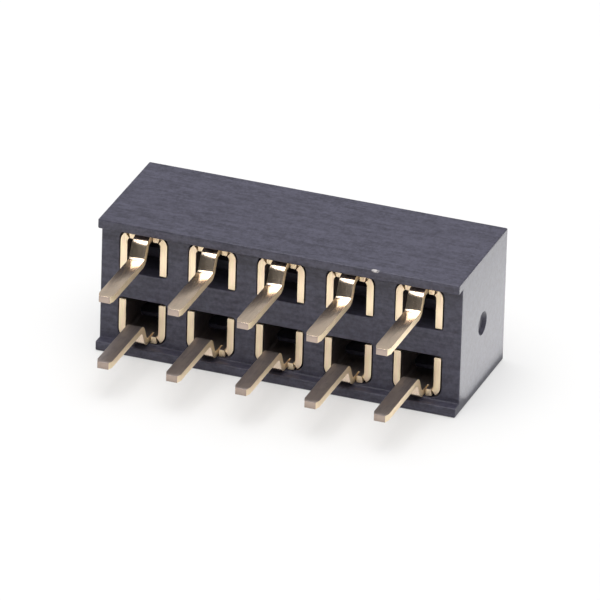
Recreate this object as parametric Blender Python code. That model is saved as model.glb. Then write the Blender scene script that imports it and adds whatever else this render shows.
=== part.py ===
"""Dual-row straight socket header, 2.54 mm grid, low profile, lying on its long side.

X runs along the rows, the tails point towards -Y, the sockets open towards +Y, and Z is up.
The origin is under the middle of the whole part, tails included, on the surface it lies on.
"""

from math import cos, hypot, pi, radians, sin, tan

import bmesh
import bpy
from mathutils import Matrix, Vector

MM = 0.001

# Grid
POSITIONS = 5
PITCH = 2.54 * MM
ROW_PITCH = 2.54 * MM

# Contact: one strip of sheet, stamped and folded. Reaches are counted from its tail's axis.
STOCK = 0.25 * MM
CHANNEL_WIDTH = 1.72 * MM
BACK_REACH = 0.80 * MM
WING_REACH = 0.70 * MM
BASE_LENGTH = 1.50 * MM
CORNER_RADIUS = 0.38 * MM
TAB_SLIT = 0.06 * MM
TAB_SLIT_DEPTH = 0.35 * MM
CORNER_SLIT_ANGLES = (14, 32)
CORNER_SLIT_DEPTH = 0.28 * MM
BARB_HEIGHT = 0.05 * MM
BARB_LENGTH = 0.30 * MM
BARB_UNDER_TOP = 0.45 * MM

# Tail: leaves the back wall, steps in to the grid with two bends, then runs straight
TAIL_WIDTH = 0.55 * MM
TAIL_LENGTH = 3.40 * MM
TAIL_TIP_WIDTH = 0.40 * MM
TAIL_TIP_LENGTH = 0.22 * MM
TAIL_FIRST_BEND = 0.28 * MM
TAIL_SECOND_BEND = 0.62 * MM
TAIL_BEND_RADIUS = 0.28 * MM

# Spring beams: one on each wing, drawn in to the pin and flared at the tip
BEAM_WIDTH = 0.60 * MM
BEAM_TIP_WIDTH = 0.42 * MM
BEAM_ROOT = 0.25 * MM
BEAM_FLARE = 0.55 * MM
BEAM_TIP_OPENING = 0.75 * MM
BEAM_BEND_RADIUS = 0.40 * MM
PIN_SIZE = 0.64 * MM
PIN_GRIP = 0.12 * MM

# Housing
BODY_HEIGHT = 5.00 * MM
SIDE_WALL = 0.43 * MM
END_WALL = 0.67 * MM
RAIL_HEIGHT = 0.40 * MM
RAIL_THICKNESS = 0.36 * MM
TOP_WALL = 0.75 * MM
EDGE_RADIUS = 0.05 * MM
POCKET_RADIUS = 0.36 * MM
WING_POCKET_RADIUS = 0.15 * MM
ROOM_RADIUS = 0.05 * MM
FUNNEL_WIDTH = 1.50 * MM
FUNNEL_DEPTH = 0.40 * MM
PIN_HOLE = 0.90 * MM
GATE_DIAMETER = 0.90 * MM
GATE_DEPTH = 0.30 * MM
GATE_HEIGHT = 2.70 * MM

# Clearances
FIT = 0.04 * MM
BARB_FIT = 0.02 * MM
BEAM_ROOM = 0.12 * MM
TIP_ROOM = 0.10 * MM
SHOULDER_FIT = 0.02 * MM
CAVITY_STEP = 0.02 * MM
CUT_PAST = 0.50 * MM

# Smoothness
BEND_STEPS = 5
CORNER_STEPS = 3
POCKET_STEPS = 3
GATE_STEPS = 32
WELD = 0.0005 * MM

body_half_length = (POSITIONS - 1) * PITCH / 2 + CHANNEL_WIDTH / 2 + FIT + END_WALL
body_half_width = ROW_PITCH / 2 + BACK_REACH + FIT + SIDE_WALL
base_top = RAIL_HEIGHT + BASE_LENGTH
beam_tip = BODY_HEIGHT - TOP_WALL - TIP_ROOM
seating_y = (TAIL_LENGTH - BODY_HEIGHT) / 2


def clear_scene():
    for item in list(bpy.data.objects):
        bpy.data.objects.remove(item)


def material(name, colour, roughness, metallic):
    made = bpy.data.materials.new(name)
    made.use_nodes = True
    shader = made.node_tree.nodes["Principled BSDF"]
    shader.inputs["Base Color"].default_value = (*colour, 1)
    shader.inputs["Roughness"].default_value = roughness
    shader.inputs["Metallic"].default_value = metallic
    made.diffuse_color = (*colour, 1)
    return made


def new_object(name, mesh, parent=None):
    made = bpy.data.objects.new(name, mesh)
    bpy.context.scene.collection.objects.link(made)
    made.parent = parent
    return made


def finish_mesh(bm, name, look=None, smooth_angle=None):
    bmesh.ops.recalc_face_normals(bm, faces=bm.faces)
    mesh = bpy.data.meshes.new(name)
    bm.to_mesh(mesh)
    bm.free()
    if look:
        mesh.materials.append(look)
    if smooth_angle:
        mesh.shade_smooth()
        mesh.set_sharp_from_angle(angle=radians(smooth_angle))
    return mesh


def rounded_path(corners, radius, steps):
    """The polyline through these 2-D corners, with each inner corner turned into an arc."""
    points = [Vector(corners[0])]
    for before, corner, after in zip(corners, corners[1:], corners[2:]):
        corner = Vector(corner)
        back = (Vector(before) - corner).normalized()
        ahead = (Vector(after) - corner).normalized()
        half_turn = (pi - back.angle(ahead)) / 2
        reach = radius * tan(half_turn)
        centre = corner + (back + ahead).normalized() * hypot(radius, reach)
        start = corner + back * reach - centre
        turn = 2 * half_turn if ahead.cross(back) > 0 else -2 * half_turn
        for step in range(steps + 1):
            points.append(centre + Matrix.Rotation(turn * step / steps, 2) @ start)
    points.append(Vector(corners[-1]))
    return points


def channel_profile():
    """The folded base's middle surface as (x, z), from one wing's free edge to the other's."""
    wall = CHANNEL_WIDTH / 2 - STOCK / 2
    back = BACK_REACH - STOCK / 2
    radius = CORNER_RADIUS - STOCK / 2
    slit_from, slit_to = CORNER_SLIT_ANGLES
    rest = [slit_to + (90 - slit_to) * step / (CORNER_STEPS - 1) for step in range(CORNER_STEPS)]
    half = [(TAIL_WIDTH / 2, back), (TAIL_WIDTH / 2 + TAB_SLIT, back)]
    for angle in [0, slit_from] + rest:
        turned = radians(angle)
        half.append((wall - radius + radius * sin(turned), back - radius + radius * cos(turned)))
    half += [(wall, BEAM_WIDTH / 2), (wall, -BEAM_WIDTH / 2), (wall, -WING_REACH)]
    return [(-x, z) for x, z in reversed(half)] + half


def fold_base(bm, profile):
    """Quads of the base between its lower and upper edges, less the slits beside tail and tabs."""
    middle = len(profile) // 2
    tab_slit = RAIL_HEIGHT + TAB_SLIT_DEPTH
    corner_slit = RAIL_HEIGHT + CORNER_SLIT_DEPTH
    barb = base_top - BARB_UNDER_TOP
    depths = sorted({RAIL_HEIGHT, corner_slit, tab_slit, barb - BARB_LENGTH, barb, base_top})
    beside_tab = 0
    in_corner = 3
    slit_ends = {}
    for column, end in ((beside_tab, tab_slit), (in_corner, corner_slit)):
        slit_ends[middle + column] = end
        slit_ends[middle - 2 - column] = end
    rows = []
    for y in depths:
        row = [bm.verts.new((x, y, z)) for x, z in profile]
        if y == barb:
            for end in (row[0], row[-1]):
                end.co.z -= BARB_HEIGHT
        rows.append(row)
    for y, low, high in zip(depths, rows, rows[1:]):
        for column in range(len(profile) - 1):
            if y < slit_ends.get(column, 0):
                continue
            bm.faces.new((low[column], low[column + 1], high[column + 1], high[column]))


def sweep_strip(bm, sections):
    """Quads between pairs of points, one pair for each section."""
    pairs = [(bm.verts.new(one), bm.verts.new(two)) for one, two in sections]
    for (a, b), (c, d) in zip(pairs, pairs[1:]):
        bm.faces.new((a, b, d, c))


def fold_tail(bm):
    """The tail: out along the back wall, in to the grid axis, then straight to its tapered tip."""
    back = BACK_REACH - STOCK / 2
    tip = -TAIL_LENGTH
    corners = [
        (RAIL_HEIGHT, back),
        (RAIL_HEIGHT - TAIL_FIRST_BEND, back),
        (RAIL_HEIGHT - TAIL_SECOND_BEND, 0),
        (tip + TAIL_TIP_LENGTH, 0),
    ]
    path = rounded_path(corners, TAIL_BEND_RADIUS, BEND_STEPS)
    half = TAIL_WIDTH / 2
    sections = [((-half, y, z), (half, y, z)) for y, z in path]
    sections.append(((-TAIL_TIP_WIDTH / 2, tip, 0), (TAIL_TIP_WIDTH / 2, tip, 0)))
    sweep_strip(bm, sections)


def fold_beam(bm, side):
    """One spring beam, from its wing's upper edge in to the pin and out again at the tip."""
    wall = CHANNEL_WIDTH / 2 - STOCK / 2
    grip = PIN_SIZE / 2 - PIN_GRIP + STOCK / 2
    flare = BEAM_TIP_OPENING / 2 + STOCK / 2
    corners = [
        (base_top, wall),
        (base_top + BEAM_ROOT, wall),
        (beam_tip - BEAM_FLARE, grip),
        (beam_tip, flare),
    ]
    sections = []
    for y, x in rounded_path(corners, BEAM_BEND_RADIUS, BEND_STEPS):
        along = (y - base_top) / (beam_tip - base_top)
        half = (BEAM_WIDTH + (BEAM_TIP_WIDTH - BEAM_WIDTH) * along) / 2
        sections.append(((side * x, y, -half), (side * x, y, half)))
    sweep_strip(bm, sections)


def contact_mesh(look):
    bm = bmesh.new()
    fold_base(bm, channel_profile())
    fold_tail(bm)
    for side in (-1, 1):
        fold_beam(bm, side)
    bmesh.ops.remove_doubles(bm, verts=bm.verts, dist=WELD)
    bmesh.ops.dissolve_limit(bm, angle_limit=radians(1), verts=bm.verts, edges=bm.edges)
    return finish_mesh(bm, "contact", look, smooth_angle=40)


def add_contact(name, mesh, parent, x, z, turned):
    contact = new_object(name, mesh, parent)
    contact.location = (x, 0, z)
    contact.rotation_euler = (0, pi if turned else 0, 0)
    sheet = contact.modifiers.new("sheet", "SOLIDIFY")
    sheet.thickness = STOCK
    sheet.offset = 0
    sheet.use_even_offset = True
    return contact


def rounded_rectangle(half_x, low_z, high_z, low_radius, high_radius, steps):
    """Corner arcs of a rectangle in XZ, anticlockwise seen from +Y's tail side."""
    points = []
    for x, z, radius, start in (
        (half_x - high_radius, high_z - high_radius, high_radius, 0),
        (high_radius - half_x, high_z - high_radius, high_radius, 90),
        (low_radius - half_x, low_z + low_radius, low_radius, 180),
        (half_x - low_radius, low_z + low_radius, low_radius, 270),
    ):
        for step in range(steps + 1):
            angle = radians(start + 90 * step / steps)
            points.append((x + radius * cos(angle), z + radius * sin(angle)))
    return points


def cavity_sections():
    """(depth, half width, lowest, highest, low and high corner radius) along one cavity."""
    half = CHANNEL_WIDTH / 2 + FIT
    low = -WING_REACH - BARB_HEIGHT - BARB_FIT
    high = BACK_REACH + FIT
    shoulder = base_top + SHOULDER_FIT
    beam = BEAM_WIDTH / 2 + BEAM_ROOM
    ceiling = BODY_HEIGHT - TOP_WALL
    hole = PIN_HOLE / 2
    mouth = FUNNEL_WIDTH / 2
    pocket = (WING_POCKET_RADIUS, POCKET_RADIUS)
    room = (ROOM_RADIUS, ROOM_RADIUS)
    return [
        (-CUT_PAST, half, low, high, *pocket),
        (shoulder, half, low, high, *pocket),
        (shoulder, half - CAVITY_STEP, -beam, beam, *room),
        (ceiling, half - CAVITY_STEP, -beam, beam, *room),
        (ceiling, hole, -hole, hole, *room),
        (BODY_HEIGHT - FUNNEL_DEPTH, hole, -hole, hole, *room),
        (BODY_HEIGHT, mouth, -mouth, mouth, *room),
        (BODY_HEIGHT + CUT_PAST, mouth, -mouth, mouth, *room),
    ]


def cut_cavity(bm, x, z, out):
    """Adds one closed cavity to the cutter, its back wall side turned the way out points."""
    rings = []
    for depth, *section in cavity_sections():
        outline = rounded_rectangle(*section, POCKET_STEPS)
        rings.append([bm.verts.new((x + px * out, depth, z + pz * out)) for px, pz in outline])
    for low, high in zip(rings, rings[1:]):
        for index in range(len(low)):
            after = (index + 1) % len(low)
            bm.faces.new((low[index], low[after], high[after], high[index]))
    bm.faces.new(rings[0])
    bm.faces.new(rings[-1])


def housing_block(look):
    """The housing's outer form: its side profile with the two rails, drawn along the rows."""
    rail = body_half_width - RAIL_THICKNESS
    profile = [
        (0, body_half_width),
        (0, rail),
        (RAIL_HEIGHT, rail),
        (RAIL_HEIGHT, -rail),
        (0, -rail),
        (0, -body_half_width),
        (BODY_HEIGHT, -body_half_width),
        (BODY_HEIGHT, body_half_width),
    ]
    bm = bmesh.new()
    end = bm.faces.new([bm.verts.new((-body_half_length, y, z)) for y, z in profile])
    drawn = bmesh.ops.extrude_face_region(bm, geom=[end])["geom"]
    other_end = [item for item in drawn if isinstance(item, bmesh.types.BMVert)]
    bmesh.ops.translate(bm, verts=other_end, vec=(2 * body_half_length, 0, 0))
    return finish_mesh(bm, "housing", look)


def gate_recess():
    """The round sink in the end face where the housing was filled."""
    bm = bmesh.new()
    end = Matrix.Translation((body_half_length, GATE_HEIGHT, 0)) @ Matrix.Rotation(pi / 2, 4, "Y")
    bmesh.ops.create_cone(
        bm,
        cap_ends=True,
        segments=GATE_STEPS,
        radius1=GATE_DIAMETER / 2,
        radius2=GATE_DIAMETER / 2,
        depth=2 * GATE_DEPTH,
        matrix=end,
    )
    return finish_mesh(bm, "gate_recess")


def subtract(target, cutter):
    cutter.hide_render = True
    cutter.display_type = "WIRE"
    cut = target.modifiers.new(cutter.name, "BOOLEAN")
    cut.operation = "DIFFERENCE"
    cut.object = cutter


def add_housing(parent, look, places):
    housing = new_object("housing", housing_block(look), parent)
    edges = housing.modifiers.new("edges", "BEVEL")
    edges.width = EDGE_RADIUS
    edges.segments = 2
    edges.limit_method = "ANGLE"

    bm = bmesh.new()
    for _, x, z, out in places:
        cut_cavity(bm, x, z, out)
    for cutter in (finish_mesh(bm, "cavities"), gate_recess()):
        subtract(housing, new_object(cutter.name, cutter, parent))
    return housing


def main():
    clear_scene()
    plastic = material("housing_plastic", (0.055, 0.055, 0.065), 0.45, 0)
    plated = material("contact_metal", (0.80, 0.66, 0.42), 0.28, 1)

    header = new_object("header", None)
    header.location = (0, seating_y, body_half_width)

    places = []
    for row, out in (("a", 1), ("b", -1)):
        for position in range(POSITIONS):
            x = (position - (POSITIONS - 1) / 2) * PITCH
            places.append((f"contact_{row}{position + 1}", x, out * ROW_PITCH / 2, out))

    add_housing(header, plastic, places)
    contact = contact_mesh(plated)
    for name, x, z, out in places:
        add_contact(name, contact, header, x, z, turned=out < 0)


main()
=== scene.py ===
from math import atan2, copysign, cos, degrees, hypot, pi, radians, sin, tan

import bmesh
import bpy
from mathutils import Matrix, Vector


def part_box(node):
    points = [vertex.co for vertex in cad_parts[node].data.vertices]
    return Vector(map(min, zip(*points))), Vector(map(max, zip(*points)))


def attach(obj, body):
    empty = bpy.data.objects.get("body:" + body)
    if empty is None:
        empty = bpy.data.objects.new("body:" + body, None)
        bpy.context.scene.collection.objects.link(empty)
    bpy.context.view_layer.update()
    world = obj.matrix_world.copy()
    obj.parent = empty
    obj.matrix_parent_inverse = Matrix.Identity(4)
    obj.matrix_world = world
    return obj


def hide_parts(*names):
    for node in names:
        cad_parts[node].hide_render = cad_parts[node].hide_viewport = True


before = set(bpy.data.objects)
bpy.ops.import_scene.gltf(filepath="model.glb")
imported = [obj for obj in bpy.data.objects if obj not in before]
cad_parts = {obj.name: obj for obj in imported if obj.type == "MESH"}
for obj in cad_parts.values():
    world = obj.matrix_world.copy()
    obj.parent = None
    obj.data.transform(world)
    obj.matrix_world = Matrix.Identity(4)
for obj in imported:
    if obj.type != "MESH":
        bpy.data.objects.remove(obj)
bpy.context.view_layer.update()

mm = 0.001
near = 1e-4  # drawn points closer than this are one point

# The pieces are drawn in millimetres: x along the rows, y from the board rails to the mating
# face, z from the plane between the two rows. toFrame puts a drawing in its place.
blockLow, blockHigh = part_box("housing")
middle = (blockLow.z + blockHigh.z) / 2
toFrame = Matrix.Translation((0, blockLow.y, middle)) @ Matrix.Scale(mm, 4)


# One socket of a node tree. Arithmetic on it adds the Math nodes.
class Wire:
    def __init__(self, tree, socket=None):
        self.tree = tree
        self.socket = socket

    def node(self, kind, settings=None, values=None, out=0):
        made = self.tree.nodes.new(kind)
        for name, value in (settings or {}).items():
            setattr(made, name, value)
        for key, value in (values or {}).items():
            if isinstance(value, Wire):
                self.tree.links.new(value.socket, made.inputs[key])
            else:
                made.inputs[key].default_value = value
        return Wire(self.tree, made.outputs[out])

    def maths(self, operation, *parts):
        return self.node("ShaderNodeMath", {"operation": operation}, dict(enumerate(parts)))

    def vectorMaths(self, operation, *parts, out="Vector"):
        values = dict(enumerate(parts))
        return self.node("ShaderNodeVectorMath", {"operation": operation}, values, out)

    def __add__(self, other):
        return self.maths("ADD", self, other)

    __radd__ = __add__

    def __sub__(self, other):
        return self.maths("SUBTRACT", self, other)

    def __rsub__(self, other):
        return self.maths("SUBTRACT", other, self)

    def __mul__(self, other):
        return self.maths("MULTIPLY", self, other)

    __rmul__ = __mul__

    def least(self, other):
        return self.maths("MINIMUM", self, other)

    def most(self, other):
        return self.maths("MAXIMUM", self, other)

    # 0 below start, 1 above end, smooth between
    def rise(self, start, end):
        settings = {"interpolation_type": "SMOOTHSTEP"}
        return self.node(
            "ShaderNodeMapRange", settings, {"Value": self, "From Min": start, "From Max": end}
        )

    def moved(self, *step):
        return self.vectorMaths("ADD", self, step)

    def scaled(self, *factors):
        return self.vectorMaths("MULTIPLY", self, factors)

    def length(self):
        return self.vectorMaths("LENGTH", self, out="Value")

    def part(self, axis):
        return self.node("ShaderNodeSeparateXYZ", {}, {0: self}, out=axis)

    def noise(self, scale, detail, roughness, stretch=None):
        place = self.scaled(*stretch) if stretch else self
        values = {"Vector": place, "Scale": scale, "Detail": detail, "Roughness": roughness}
        return self.node("ShaderNodeTexNoise", {}, values)

    # The colour sockets of a Mix node are its inputs 6 and 7 and its output 2
    def blend(self, first, second):
        values = {0: self, 6: first, 7: second}
        return self.node("ShaderNodeMix", {"data_type": "RGBA"}, values, out=2)

    def bump(self, strength, depth, normal=None):
        values = {"Strength": strength, "Distance": depth, "Height": self}
        if normal:
            values["Normal"] = normal
        return self.node("ShaderNodeBump", {}, values)


def newMaterial(name, look):
    material = bpy.data.materials.new(name)
    material.use_nodes = True
    shader = material.node_tree.nodes["Principled BSDF"]
    shader.inputs["Base Color"].default_value = (*look["colour"], 1)
    shader.inputs["Metallic"].default_value = look["metallic"]
    shader.inputs["Roughness"].default_value = look["roughness"]
    return material, shader


def feed(material, shader, wires):
    for name, wire in wires.items():
        material.node_tree.links.new(wire.socket, shader.inputs[name])


# Where a point lies on its piece, in millimetres
def placeOn(material):
    place = Wire(material.node_tree).node("ShaderNodeTexCoord", out="Object")
    return place.scaled(1 / mm, 1 / mm, 1 / mm)


# The named patterns, each times its share, added up
def mixed(patterns, shares):
    total = 0
    for name, share in shares.items():
        total = total + share * patterns[name]
    return total


def noises(place, look):
    return {name: place.noise(**form) for name, form in look["patterns"].items()}


# A finish drawn by noise patterns: they bring in the second colour, swing the roughness about
# its middle value and raise bumps, whose depths are in millimetres
def patternedFinish(patterns, look):
    second = mixed(patterns, look["secondShares"]).rise(*look["secondRise"])
    colour = second.blend((*look["colour"], 1), (*look["secondColour"], 1))
    lowest = look["roughness"] - sum(look["roughnessSwings"].values()) / 2
    roughness = lowest + mixed(patterns, look["roughnessSwings"])
    normal = None
    for name, (strength, depth) in look["bumps"].items():
        normal = patterns[name].bump(strength, depth * mm, normal)
    return {"Base Color": colour, "Roughness": roughness, "Normal": normal}


plastic = {
    "colour": (0.023, 0.022, 0.033),
    "metallic": 0,
    "roughness": 0.40,
    "ior": 1.36,
    "patterns": {
        "flow": {"stretch": (0.35, 2.4, 2.4), "scale": 2.2, "detail": 4, "roughness": 0.6},
        "lines": {"stretch": (0.10, 4.0, 4.0), "scale": 2.0, "detail": 3, "roughness": 0.55},
        "cloud": {"stretch": (0.5, 1.0, 1.0), "scale": 5.0, "detail": 4, "roughness": 0.65},
        "grain": {"scale": 9, "detail": 3, "roughness": 0.6},
        "pores": {"scale": 42, "detail": 2, "roughness": 0.5},
    },
    "secondColour": (0.060, 0.058, 0.083),
    "secondShares": {"grain": 0.30, "flow": 0.20, "lines": 0.18, "cloud": 0.32},
    "secondRise": (0.36, 0.64),
    "roughnessSwings": {"grain": 0.10, "flow": 0.08},
    "bumps": {"grain": (0.22, 0.016), "pores": (0.10, 0.010), "lines": (0.08, 0.010)},
    "scuffColour": (0.42, 0.40, 0.40),
    "scuffPlace": (3.57, blockLow.y / mm + 0.02, blockHigh.z / mm),
    "scuffSize": (0.17, 0.10, 0.10),
    "scuffFade": (0.55, 1.0),
    "scuffCrumbs": (0.35, 0.5),
    "scuffRoughness": 0.2,
}


# The housing's plastic, with one small scuff on its upper front edge
def mouldedPlastic():
    material, shader = newMaterial("mouldedPlastic", plastic)
    shader.inputs["IOR"].default_value = plastic["ior"]
    place = placeOn(material)
    patterns = noises(place, plastic)
    wires = patternedFinish(patterns, plastic)
    shift = place.moved(*(-part for part in plastic["scuffPlace"]))
    reach = shift.scaled(*(1 / part for part in plastic["scuffSize"])).length()
    crumbs = patterns["grain"].rise(*plastic["scuffCrumbs"])
    scuff = (1 - reach.rise(*plastic["scuffFade"])) * crumbs
    wires["Base Color"] = scuff.blend(wires["Base Color"], (*plastic["scuffColour"], 1))
    wires["Roughness"] = wires["Roughness"] + plastic["scuffRoughness"] * scuff
    feed(material, shader, wires)
    return material


rolledSheet = {
    "metallic": 1,
    "patterns": {
        "rolled": {"stretch": (9.0, 0.7, 1.4), "scale": 1.6, "detail": 3, "roughness": 0.55},
        "patches": {"scale": 1.7, "detail": 4, "roughness": 0.6},
        "grain": {"scale": 24, "detail": 3, "roughness": 0.6},
    },
    "secondShares": {"patches": 0.6, "rolled": 0.4},
    "secondRise": (0.44, 0.62),
    "roughnessSwings": {"rolled": 0.16, "patches": 0.10},
    "bumps": {"rolled": (0.20, 0.012), "grain": (0.03, 0.006)},
}
outerFace = {
    **rolledSheet,
    "colour": (0.94, 0.76, 0.59),
    "secondColour": (0.86, 0.71, 0.56),
    "roughness": 0.23,
}
# The inner face is the same plating as the outer face painted darker and greyer: painted shade on
# the side of the strip that faces inwards, which also darkens the tops of the lower tails
innerFacePaintedShade = {
    **rolledSheet,
    "colour": (0.42, 0.355, 0.33),
    "secondColour": (0.335, 0.29, 0.275),
    "roughness": 0.42,
}
shearedEdge = {
    "colour": (0.95, 0.83, 0.58),
    "metallic": 1,
    "roughness": 0.56,
    "patterns": {
        "tears": {"stretch": (14.0, 14.0, 0.8), "scale": 2.0, "detail": 3, "roughness": 0.6},
        "grain": {"scale": 20, "detail": 3, "roughness": 0.6},
    },
    "secondColour": outerFace["colour"],
    "secondShares": {"tears": 1},
    "secondRise": (0.35, 0.65),
    "roughnessSwings": {"tears": 0.14},
    "bumps": {"tears": (0.80, 0.028), "grain": (0.10, 0.006)},
    "bareColour": (0.33, 0.265, 0.225),
    "bareRoughness": 0.45,
    "bareReach": 0.03,
}


def sheetMetal(name, look):
    material, shader = newMaterial(name, look)
    feed(material, shader, patternedFinish(noises(placeOn(material), look), look))
    return material


# The stamped edges are plated, and the cut end of each tail shows the bare metal
def edgeMetal():
    look = shearedEdge
    material, shader = newMaterial("shearedEdge", look)
    place = placeOn(material)
    wires = patternedFinish(noises(place, look), look)
    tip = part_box("contact_a1")[0].y / mm
    bare = 1 - place.part("Y").rise(tip, tip + look["bareReach"])
    duller = look["bareRoughness"] - look["roughness"]
    wires["Base Color"] = bare.blend(wires["Base Color"], (*look["bareColour"], 1))
    wires["Roughness"] = wires["Roughness"] + duller * bare
    feed(material, shader, wires)
    return material


def vertsOf(items):
    return [item for item in items if isinstance(item, bmesh.types.BMVert)]


def edgesOf(items):
    return [item for item in items if isinstance(item, bmesh.types.BMEdge)]


def facesOf(items):
    return [item for item in items if isinstance(item, bmesh.types.BMFace)]


def meshOf(bm, name):
    mesh = bpy.data.meshes.new(name)
    bm.to_mesh(mesh)
    bm.free()
    return mesh


def newPiece(name, mesh, *materials):
    piece = bpy.data.objects.new(name, mesh)
    bpy.context.scene.collection.objects.link(piece)
    for material in materials:
        mesh.materials.append(material)
    return piece


def dress(piece, node):
    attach(piece, "root")
    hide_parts(node)


def shadeEvenly(piece, angle):
    piece.data.shade_smooth()
    piece.data.set_sharp_from_angle(angle=radians(angle))
    even = piece.modifiers.new("evenShading", "WEIGHTED_NORMAL")
    even.keep_sharp = True


# A strip of sheet drawn on from a row of edges, run by run and bend by bend
class Fold:
    def __init__(self, bm, edges, heading, axis):
        self.bm = bm
        self.edges = edges
        self.heading = Vector(heading)
        self.axis = Vector(axis)

    def run(self, length):
        drawn = bmesh.ops.extrude_edge_only(self.bm, edges=self.edges)["geom"]
        ends = vertsOf(drawn)
        bmesh.ops.translate(self.bm, verts=ends, vec=self.heading * length)
        self.edges = [edge for edge in edgesOf(drawn) if all(vert in ends for vert in edge.verts)]
        return self

    def bend(self, turn, radius, steps):
        side = self.axis.cross(self.heading) * copysign(1, turn)
        centre = self.edges[0].verts[0].co + side * radius
        drawn = bmesh.ops.spin(
            self.bm,
            geom=self.edges,
            cent=centre,
            axis=self.axis,
            angle=radians(turn),
            steps=steps,
        )["geom_last"]
        self.edges = edgesOf(drawn)
        self.heading = Matrix.Rotation(radians(turn), 3, self.axis) @ self.heading
        return self

    def narrow(self, share):
        ends = {vert for edge in self.edges for vert in edge.verts}
        bmesh.ops.scale(self.bm, vec=(share, 1, 1), verts=list(ends))


contact = {
    "stock": 0.25,
    "width": 1.72,
    "backReach": 0.80,
    "wingReach": 0.70,
    "baseLength": 1.50,
    "cornerRadius": 0.38,
    "cornerSteps": (2, 2, 6),  # before the corner's slit, along it and after it
    "tabSlit": 0.06,
    "tabSlitDepth": 0.35,
    "cornerSlitFrom": 14,  # degrees round the corner
    "cornerSlitTo": 32,
    "cornerSlitDepth": 0.28,
    "barbHeight": 0.05,
    "barbLength": 0.30,
    "barbUnderTop": 0.45,
    "tailWidth": 0.55,
    "tailTipWidth": 0.40,
    "tailTipLength": 0.22,
    "tailFirstBend": 0.28,
    "tailSecondBend": 0.62,
    "tailBendRadius": 0.28,
    "beamWidth": 0.60,
    "beamTipWidth": 0.42,
    "beamRoot": 0.25,
    "beamFlare": 0.55,
    "beamTip": 4.15,
    "beamTipOpening": 0.75,
    "beamBendRadius": 0.40,
    "beamGap": 0.40,
    "bendSteps": 8,
    "footLength": 0.18,
    "footRadius": 0.08,
    "footSteps": 4,
    "edgeRadius": 0.025,
    "edgeSteps": 2,
    "sharpAngle": 40,
    "fit": 0.04,
    "barbFit": 0.02,
    "beamRoom": 0.12,
    "shoulderFit": 0.02,
}


def cutAcross(bm, y):
    everything = bm.verts[:] + bm.edges[:] + bm.faces[:]
    bmesh.ops.bisect_plane(
        bm, geom=everything, dist=near / 10, plane_co=(0, y, 0), plane_no=(0, 1, 0)
    )


# One half of the contact's base: half the back wall, a corner and a wing
def foldBase(bm):
    back = contact["backReach"] - contact["stock"] / 2
    wall = contact["width"] / 2 - contact["stock"] / 2
    radius = contact["cornerRadius"] - contact["stock"] / 2
    foot = block["railHeight"]
    top = foot + contact["baseLength"]
    tabEnd = contact["tailWidth"] / 2
    slitEnd = tabEnd + contact["tabSlit"]
    slitFrom = contact["cornerSlitFrom"]
    slitTo = contact["cornerSlitTo"]
    before, along, after = contact["cornerSteps"]
    spine = bm.edges.new([bm.verts.new((0, y, back)) for y in (foot, top)])
    sheet = Fold(bm, [spine], (1, 0, 0), (0, 1, 0))
    sheet.run(tabEnd).run(slitEnd - tabEnd).run(wall - radius - slitEnd)
    sheet.bend(slitFrom, radius, before)
    sheet.bend(slitTo - slitFrom, radius, along)
    sheet.bend(90 - slitTo, radius, after)
    sheet.run(back - radius - contact["beamWidth"] / 2).run(contact["beamWidth"])
    sheet.run(contact["wingReach"] - contact["beamWidth"] / 2)

    # The strip is divided where a slit, the barb or a foot ends, and the slits are taken out
    tabSlitTop = foot + contact["tabSlitDepth"]
    cornerSlitTop = foot + contact["cornerSlitDepth"]
    barb = top - contact["barbUnderTop"]
    roundTop = foot + contact["footLength"]
    for y in (roundTop, tabSlitTop, cornerSlitTop, barb - contact["barbLength"], barb):
        cutAcross(bm, y)
    slits = []
    for face in bm.faces:
        centre = face.calc_center_median()
        turned = degrees(atan2(centre.x - wall + radius, centre.z - back + radius))
        besideTab = tabEnd < centre.x < slitEnd and centre.y < tabSlitTop
        inCorner = centre.z > 0 and slitFrom < turned < slitTo and centre.y < cornerSlitTop
        if besideTab or (inCorner and centre.x > wall - radius):
            slits.append(face)
    bmesh.ops.delete(bm, geom=slits, context="FACES")

    # The barb stands out from the long edge of the wing
    for vert in bm.verts:
        if abs(vert.co.y - barb) < near and vert.co.z < near - contact["wingReach"]:
            vert.co.z -= contact["barbHeight"]

    # The free corners of the feet, which a bevel rounds later
    weight = bm.edges.layers.float.new("bevel_weight_edge")
    for edge in bm.edges:
        low, high = sorted(vert.co.y for vert in edge.verts)
        atFoot = low < foot + near and high > low + near
        besideTab = edge.verts[0].co.x > tabEnd + near
        if edge.is_boundary and atFoot and besideTab:
            edge[weight] = 1


# The spring beam on the wing: in to the pin, then out again at its tip
def foldBeam(bm):
    wall = contact["width"] / 2 - contact["stock"] / 2
    top = block["railHeight"] + contact["baseLength"]
    root = top + contact["beamRoot"]
    throat = contact["beamTip"] - contact["beamFlare"]
    grip = (contact["beamGap"] + contact["stock"]) / 2
    flare = (contact["beamTipOpening"] + contact["stock"]) / 2
    radius = contact["beamBendRadius"]
    steps = contact["bendSteps"]
    inward = atan2(wall - grip, throat - root)
    outward = atan2(flare - grip, contact["beamFlare"])
    rootReach = radius * tan(inward / 2)
    throatReach = radius * tan((inward + outward) / 2)
    half = contact["beamWidth"] / 2 + near
    edges = [
        edge
        for edge in bm.edges
        if all(vert.co.y > top - near and abs(vert.co.z) < half for vert in edge.verts)
    ]
    beam = Fold(bm, edges, (0, 1, 0), (0, 0, 1))
    beam.run(contact["beamRoot"] - rootReach).bend(degrees(inward), radius, steps)
    beam.run(hypot(wall - grip, throat - root) - rootReach - throatReach)
    beam.bend(-degrees(inward + outward), radius, steps)
    beam.run(hypot(flare - grip, contact["beamFlare"]) - throatReach)
    for vert in bm.verts:
        if vert.co.y > top + near:
            along = (vert.co.y - top) / (contact["beamTip"] - top)
            vert.co.z *= 1 - along * (1 - contact["beamTipWidth"] / contact["beamWidth"])


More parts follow.
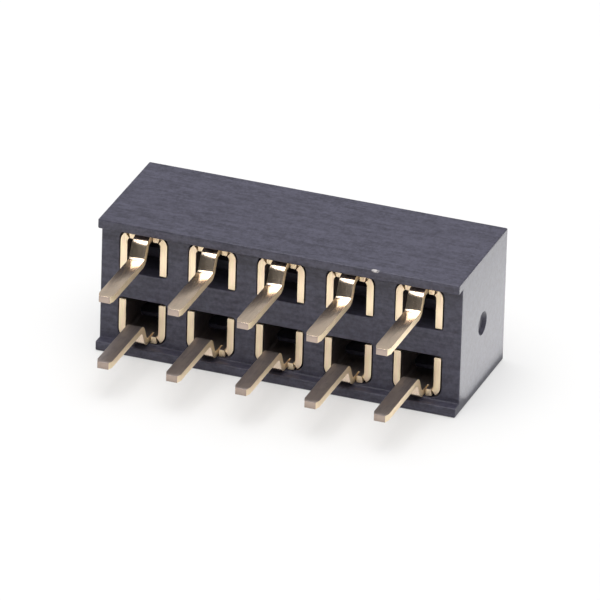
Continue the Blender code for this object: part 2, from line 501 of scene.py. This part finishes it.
# The tail: out along the back wall, in to the grid with two bends, then straight to its tip
def foldTail(bm, length):
    back = contact["backReach"] - contact["stock"] / 2
    foot = block["railHeight"]
    lean = contact["tailSecondBend"] - contact["tailFirstBend"]
    slope = atan2(back, lean)
    radius = contact["tailBendRadius"]
    reach = radius * tan(slope / 2)
    half = contact["tailWidth"] / 2 + near
    edges = [
        edge
        for edge in bm.edges
        if all(
            vert.co.y < foot + near and abs(vert.co.x) < half and vert.co.z > 0
            for vert in edge.verts
        )
    ]
    tail = Fold(bm, edges, (0, -1, 0), (1, 0, 0))
    tail.run(contact["tailFirstBend"] - reach).bend(degrees(slope), radius, contact["bendSteps"])
    tail.run(hypot(back, lean) - 2 * reach).bend(-degrees(slope), radius, contact["bendSteps"])
    tail.run(length + foot - contact["tailSecondBend"] - reach - contact["tailTipLength"])
    tail.run(contact["tailTipLength"])
    tail.narrow(contact["tailTipWidth"] / contact["tailWidth"])


def contactSheet(length):
    bm = bmesh.new()
    foldBase(bm)
    foldBeam(bm)
    everything = bm.verts[:] + bm.edges[:] + bm.faces[:]
    bmesh.ops.mirror(bm, geom=everything, matrix=Matrix.Identity(4), merge_dist=near, axis="X")
    foldTail(bm, length)
    bmesh.ops.recalc_face_normals(bm, faces=bm.faces)
    return meshOf(bm, "contactSheet")


# Where each contact stands in the grid, and which way up
def contactSpots():
    spots = {}
    for name in sorted(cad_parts):
        if name.startswith("contact_"):
            low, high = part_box(name)
            out = 1 if low.z + high.z > 2 * middle else -1
            outer = high.z if out > 0 else low.z
            row = (outer - middle) / mm - out * contact["backReach"]
            spot = Matrix.Translation(((low.x + high.x) / 2 / mm, 0, row))
            spots[name] = spot @ Matrix.Rotation(0 if out > 0 else pi, 4, "Y")
    return spots


def addContacts(innerPaintedShade, outer, edge):
    spots = contactSpots()
    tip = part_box(min(spots))[0].y
    sheet = contactSheet((blockLow.y - tip) / mm)
    for name, spot in spots.items():
        mesh = sheet.copy()
        mesh.transform(toFrame @ spot)
        piece = newPiece(name.replace("contact", "springContact"), mesh, innerPaintedShade, outer, edge)
        stock = piece.modifiers.new("stock", "SOLIDIFY")
        stock.thickness = contact["stock"] * mm
        stock.offset = 0
        stock.use_even_offset = True
        stock.material_offset = 1
        stock.material_offset_rim = 2
        feet = piece.modifiers.new("roundedFeet", "BEVEL")
        feet.width = contact["footRadius"] * mm
        feet.segments = contact["footSteps"]
        feet.limit_method = "WEIGHT"
        worn = piece.modifiers.new("wornEdges", "BEVEL")
        worn.width = contact["edgeRadius"] * mm
        worn.segments = contact["edgeSteps"]
        worn.limit_method = "ANGLE"
        worn.angle_limit = radians(contact["sharpAngle"])
        shadeEvenly(piece, contact["sharpAngle"])
        dress(piece, name)


block = {
    "halfLength": blockHigh.x / mm,
    "height": (blockHigh.y - blockLow.y) / mm,
    "halfWidth": (blockHigh.z - blockLow.z) / 2 / mm,
    "railHeight": 0.40,
    "railThickness": 0.36,
    "edgeRadius": 0.05,
    "edgeSteps": 3,
    "mouthRadius": 0.03,
    "mouthSteps": 3,
    "pocketRadius": 0.38,
    "wingPocketRadius": 0.15,
    "roomRadius": 0.05,
    "roomStart": 0.50,
    "cornerSteps": 6,
    "ceiling": 4.25,
    "pinHole": 0.90,
    "pinHoleDip": 0.20,
    "leadIn": 1.50,
    "leadInDepth": 0.40,
    "overlap": 0.02,  # of two cores, where one cavity opens into the next
    "overhang": 0.50,  # of a core, outside the block
    "gateDiameter": 0.86,
    "gateTaper": 0.20,
    "gateDepth": 0.13,
    "gateHeight": 2.62,
    "gateLift": -0.07,
    "gateSteps": 64,
    "sharpAngle": 35,
}


# A core that fills part of a cavity: a rounded rectangle drawn along y. Each step is (y, growth).
def coreMesh(sizes, lowRadius, highRadius, steps):
    halfX, lowZ, highZ = sizes
    halfZ = (highZ - lowZ) / 2
    bm = bmesh.new()
    upright = Matrix.Rotation(pi / 2, 4, "X")
    bmesh.ops.create_grid(bm, x_segments=1, y_segments=1, size=0.5, matrix=upright)
    bmesh.ops.scale(bm, vec=(2 * halfX, 1, 2 * halfZ), verts=bm.verts)
    high = [vert for vert in bm.verts if vert.co.z > 0]
    low = [vert for vert in bm.verts if vert.co.z < 0]
    for corners, radius in ((high, highRadius), (low, lowRadius)):
        bmesh.ops.bevel(
            bm,
            geom=corners,
            offset=radius,
            segments=block["cornerSteps"],
            profile=0.5,
            affect="VERTICES",
            material=-1,
        )
    firstY = steps[0][0]
    bmesh.ops.translate(bm, verts=bm.verts, vec=(0, firstY, 0))
    first = bm.faces[:][0]
    last = first
    ring = bm.verts[:]
    before = (firstY, 0)
    for step in steps:
        if step is not steps[0]:
            drawn = bmesh.ops.extrude_face_region(bm, geom=[last])["geom"]
            if last is not first:
                bmesh.ops.delete(bm, geom=[last], context="FACES_ONLY")
            last = facesOf(drawn)[0]
            ring = vertsOf(drawn)
            bmesh.ops.translate(bm, verts=ring, vec=(0, step[0] - before[0], 0))
        widenX = (halfX + step[1]) / (halfX + before[1])
        widenZ = (halfZ + step[1]) / (halfZ + before[1])
        bmesh.ops.scale(bm, vec=(widenX, 1, widenZ), verts=ring)
        before = step
    bmesh.ops.translate(bm, verts=bm.verts, vec=(0, 0, (lowZ + highZ) / 2))
    bmesh.ops.recalc_face_normals(bm, faces=bm.faces)
    return meshOf(bm, "core")


# The growth of a core from the plane y inwards, so that the mouth there comes out rounded
def roundedMouth(y):
    radius = block["mouthRadius"]
    steps = []
    for step in range(block["mouthSteps"] + 1):
        turn = pi / 2 * step / block["mouthSteps"]
        steps.append((y + radius * (1 - cos(turn)), radius * (1 - sin(turn))))
    return steps


# One cutter for each kind of room, with a core at every contact
def coreCutters():
    wall = contact["width"] / 2 + contact["fit"]
    low = -contact["wingReach"] - contact["barbHeight"] - contact["barbFit"]
    high = contact["backReach"] + contact["fit"]
    foot = block["railHeight"]
    shoulder = foot + contact["baseLength"] + contact["shoulderFit"]
    beam = contact["beamWidth"] / 2 + contact["beamRoom"]
    hole = block["pinHole"] / 2
    top = block["height"]
    funnelStart = top - block["leadInDepth"]
    spread = (block["leadIn"] - block["pinHole"]) / 2
    overlap = block["overlap"]
    dip = -overlap * spread / block["leadInDepth"]
    outside = block["overhang"]
    ceiling = block["ceiling"]
    pocket = [(-outside, block["mouthRadius"])] + roundedMouth(foot) + [(shoulder, 0)]
    beamRoom = [(foot + block["roomStart"], 0), (ceiling, 0)]
    pinHole = [(ceiling - block["pinHoleDip"], 0), (funnelStart, 0), (funnelStart + overlap, 0)]
    leadIn = [(funnelStart - overlap, dip), (top, spread), (top + outside, spread)]
    small = block["roomRadius"]
    forms = {
        "pockets": ((wall, low, high), block["wingPocketRadius"], block["pocketRadius"], pocket),
        "beamRooms": ((wall - overlap, -beam, beam), small, small, beamRoom),
        "pinHoles": ((hole, -hole, hole), small, small, pinHole),
        "leadIns": ((hole, -hole, hole), small, small, leadIn),
    }
    cutters = []
    for name, form in forms.items():
        core = coreMesh(*form)
        bm = bmesh.new()
        for spot in contactSpots().values():
            placed = core.copy()
            placed.transform(spot)
            bm.from_mesh(placed)
        cutters.append(newPiece(name, meshOf(bm, name)))
    return cutters


# The block before the cavities are cut, with its two board rails
def blockForm():
    rail = block["halfWidth"] - block["railThickness"]
    corners = [
        (0, block["halfWidth"]),
        (0, rail),
        (block["railHeight"], rail),
        (block["railHeight"], -rail),
        (0, -rail),
        (0, -block["halfWidth"]),
        (block["height"], -block["halfWidth"]),
        (block["height"], block["halfWidth"]),
    ]
    bm = bmesh.new()
    end = bm.faces.new([bm.verts.new((-block["halfLength"], y, z)) for y, z in corners])
    drawn = bmesh.ops.extrude_face_region(bm, geom=[end])["geom"]
    bmesh.ops.translate(bm, verts=vertsOf(drawn), vec=(2 * block["halfLength"], 0, 0))
    bmesh.ops.bevel(
        bm,
        geom=bm.edges[:],
        offset=block["edgeRadius"],
        segments=block["edgeSteps"],
        profile=0.5,
        affect="EDGES",
        material=-1,
    )
    bmesh.ops.recalc_face_normals(bm, faces=bm.faces)
    return newPiece("block", meshOf(bm, "block"))


# The gate mark is a shallow round dimple with a slanted wall, half of its core outside the block
def gateCutter():
    bm = bmesh.new()
    radius = block["gateDiameter"] / 2
    spot = Matrix.Translation((block["halfLength"], block["gateHeight"], block["gateLift"]))
    bmesh.ops.create_cone(
        bm,
        cap_ends=True,
        segments=block["gateSteps"],
        radius1=radius * (1 - block["gateTaper"]),
        radius2=radius * (1 + block["gateTaper"]),
        depth=2 * block["gateDepth"],
        matrix=spot @ Matrix.Rotation(pi / 2, 4, "Y"),
    )
    return newPiece("gate", meshOf(bm, "gate"))


# The block less its cutters, made one plain mesh
def addHousing(material):
    raw = blockForm()
    cutters = coreCutters() + [gateCutter()]
    for cutter in cutters:
        cut = raw.modifiers.new(cutter.name, "BOOLEAN")
        cut.operation = "DIFFERENCE"
        cut.object = cutter
    bpy.context.view_layer.update()
    shaped = raw.evaluated_get(bpy.context.evaluated_depsgraph_get())
    mesh = bpy.data.meshes.new_from_object(shaped)
    for helper in [raw] + cutters:
        bpy.data.objects.remove(helper)
    bm = bmesh.new()
    bm.from_mesh(mesh)
    bmesh.ops.remove_doubles(bm, verts=bm.verts, dist=near)
    bmesh.ops.transform(bm, matrix=toFrame, verts=bm.verts)
    bm.to_mesh(mesh)
    bm.free()
    mesh.materials.clear()
    piece = newPiece("mouldedHousing", mesh, material)
    shadeEvenly(piece, block["sharpAngle"])
    dress(piece, "housing")


view = {
    "azimuth": 19.549,
    "elevation": 26.293,
    "roll": 1.717,
    "distance": 451.4,
    "aim": (0.248, 0.926, 2.517),
    "lens": 781.3,
    "sensorWidth": 36,
    "nearest": 10,
    "farthest": 5000,
}


def addCamera():
    data = bpy.data.cameras.new("camera")
    data.sensor_width = view["sensorWidth"]
    data.lens = view["lens"]
    data.clip_start = view["nearest"] * mm
    data.clip_end = view["farthest"] * mm
    camera = bpy.data.objects.new("camera", data)
    bpy.context.scene.collection.objects.link(camera)
    turn = (
        Matrix.Rotation(radians(view["azimuth"]), 4, "Z")
        @ Matrix.Rotation(radians(90 - view["elevation"]), 4, "X")
        @ Matrix.Rotation(radians(view["roll"]), 4, "Z")
    )
    place = Vector(view["aim"]) + turn @ Vector((0, 0, view["distance"]))
    camera.matrix_world = Matrix.Translation(place * mm) @ turn
    bpy.context.scene.camera = camera


paper = {
    "colour": (0.93, 0.925, 0.92),
    "metallic": 0,
    "roughness": 0.9,
    "width": 1200,
    "gap": 0.01,
    "glow": 0.75,
    "glowShare": 0.58,
    "glowSeenBy": ("Is Camera Ray", "Is Glossy Ray", "Is Transmission Ray"),
}


# White paper. The eye and the reflections see it nearly white, with a faint shadow.
def addFloor():
    material, shader = newMaterial("paperFloor", paper)
    shader.inputs["Specular IOR Level"].default_value = 0
    tree = material.node_tree
    start = Wire(tree)
    glow = start.node("ShaderNodeEmission", {}, {"Strength": paper["glow"]}, "Emission")
    seen = sum(start.node("ShaderNodeLightPath", out=ray) for ray in paper["glowSeenBy"])
    share = paper["glowShare"] * seen.least(1)
    plain = Wire(tree, shader.outputs["BSDF"])
    shown = start.node("ShaderNodeMixShader", {}, {0: share, 1: plain, 2: glow})
    tree.links.new(shown.socket, tree.nodes["Material Output"].inputs["Surface"])
    bm = bmesh.new()
    bmesh.ops.create_grid(bm, x_segments=1, y_segments=1, size=paper["width"] / 2 * mm)
    bmesh.ops.translate(bm, verts=bm.verts, vec=(0, 0, -paper["gap"] * mm))
    newPiece("floor", meshOf(bm, "floor"), material)


# The lamp overhead lights the surfaces, and the two cards on the table are only reflected
lamps = {
    "overhead": {
        "place": (-20, 35, 240),
        "aim": (0, 0, 0),
        "size": (170, 170),
        "level": 2.4,
        "reflected": False,
    },
    "endCard": {
        "place": (9.4, 8.8, 0.1),
        "aim": (9.4, 8.8, 9),
        "size": (5.2, 16.4),
        "level": 2.80,
        "reflected": True,
    },
    "frontCard": {
        "place": (-4, -22.5, 0.1),
        "aim": (-4, -22.5, 9),
        "size": (70, 33),
        "level": 0.92,
        "reflected": True,
    },
}


def addLamp(name, place, aim, size, level, reflected):
    data = bpy.data.lights.new(name, "AREA")
    data.shape = "RECTANGLE"
    data.size = size[0] * mm
    data.size_y = size[1] * mm
    data.energy = level * pi * data.size * data.size_y
    lamp = bpy.data.objects.new(name, data)
    bpy.context.scene.collection.objects.link(lamp)
    lamp.location = Vector(place) * mm
    lamp.rotation_euler = (Vector(aim) - Vector(place)).to_track_quat("-Z", "Y").to_euler()
    lamp.visible_camera = False
    lamp.visible_diffuse = not reflected
    lamp.visible_glossy = reflected


# The room looks dim in front, lighter behind and bright overhead in reflections, one even
# level to diffuse rays, and white to the eye
room = {
    "evenLevel": 0.72,
    "frontShine": 0.03,
    "backShine": 0.45,
    "backRise": (-0.6, 0.7),
    "topShine": 5.5,
    "topLean": 0.20,
    "topRise": (0.80, 0.92),
}


def addRoom():
    world = bpy.data.worlds.new("softRoom")
    bpy.context.scene.world = world
    world.use_nodes = True
    tree = world.node_tree
    ground = tree.nodes["Background"]
    ground.inputs["Color"].default_value = (1, 1, 1, 1)
    start = Wire(tree)
    direction = start.node("ShaderNodeTexCoord", out="Generated")
    back = direction.part("Y").rise(*room["backRise"])
    shine = room["frontShine"] + (room["backShine"] - room["frontShine"]) * back
    top = direction.part("Z") - room["topLean"] * direction.part("Y")
    shine = shine.most(room["topShine"] * top.rise(*room["topRise"]))
    diffuse = start.node("ShaderNodeLightPath", out="Is Diffuse Ray")
    level = shine + diffuse * (room["evenLevel"] - shine)
    seen = start.node("ShaderNodeLightPath", out="Is Camera Ray")
    level = level + seen * (1 - level)
    tree.links.new(level.socket, ground.inputs["Strength"])


bpy.context.scene.view_settings.view_transform = "Standard"
addCamera()
addFloor()
addRoom()
for name, lamp in lamps.items():
    addLamp(name, **lamp)
print("camera, floor and lamps are in place")

addHousing(mouldedPlastic())
print("housing moulded")

addContacts(sheetMetal("innerFacePaintedShade", innerFacePaintedShade), sheetMetal("outerFace", outerFace), edgeMetal())
print("contacts folded")
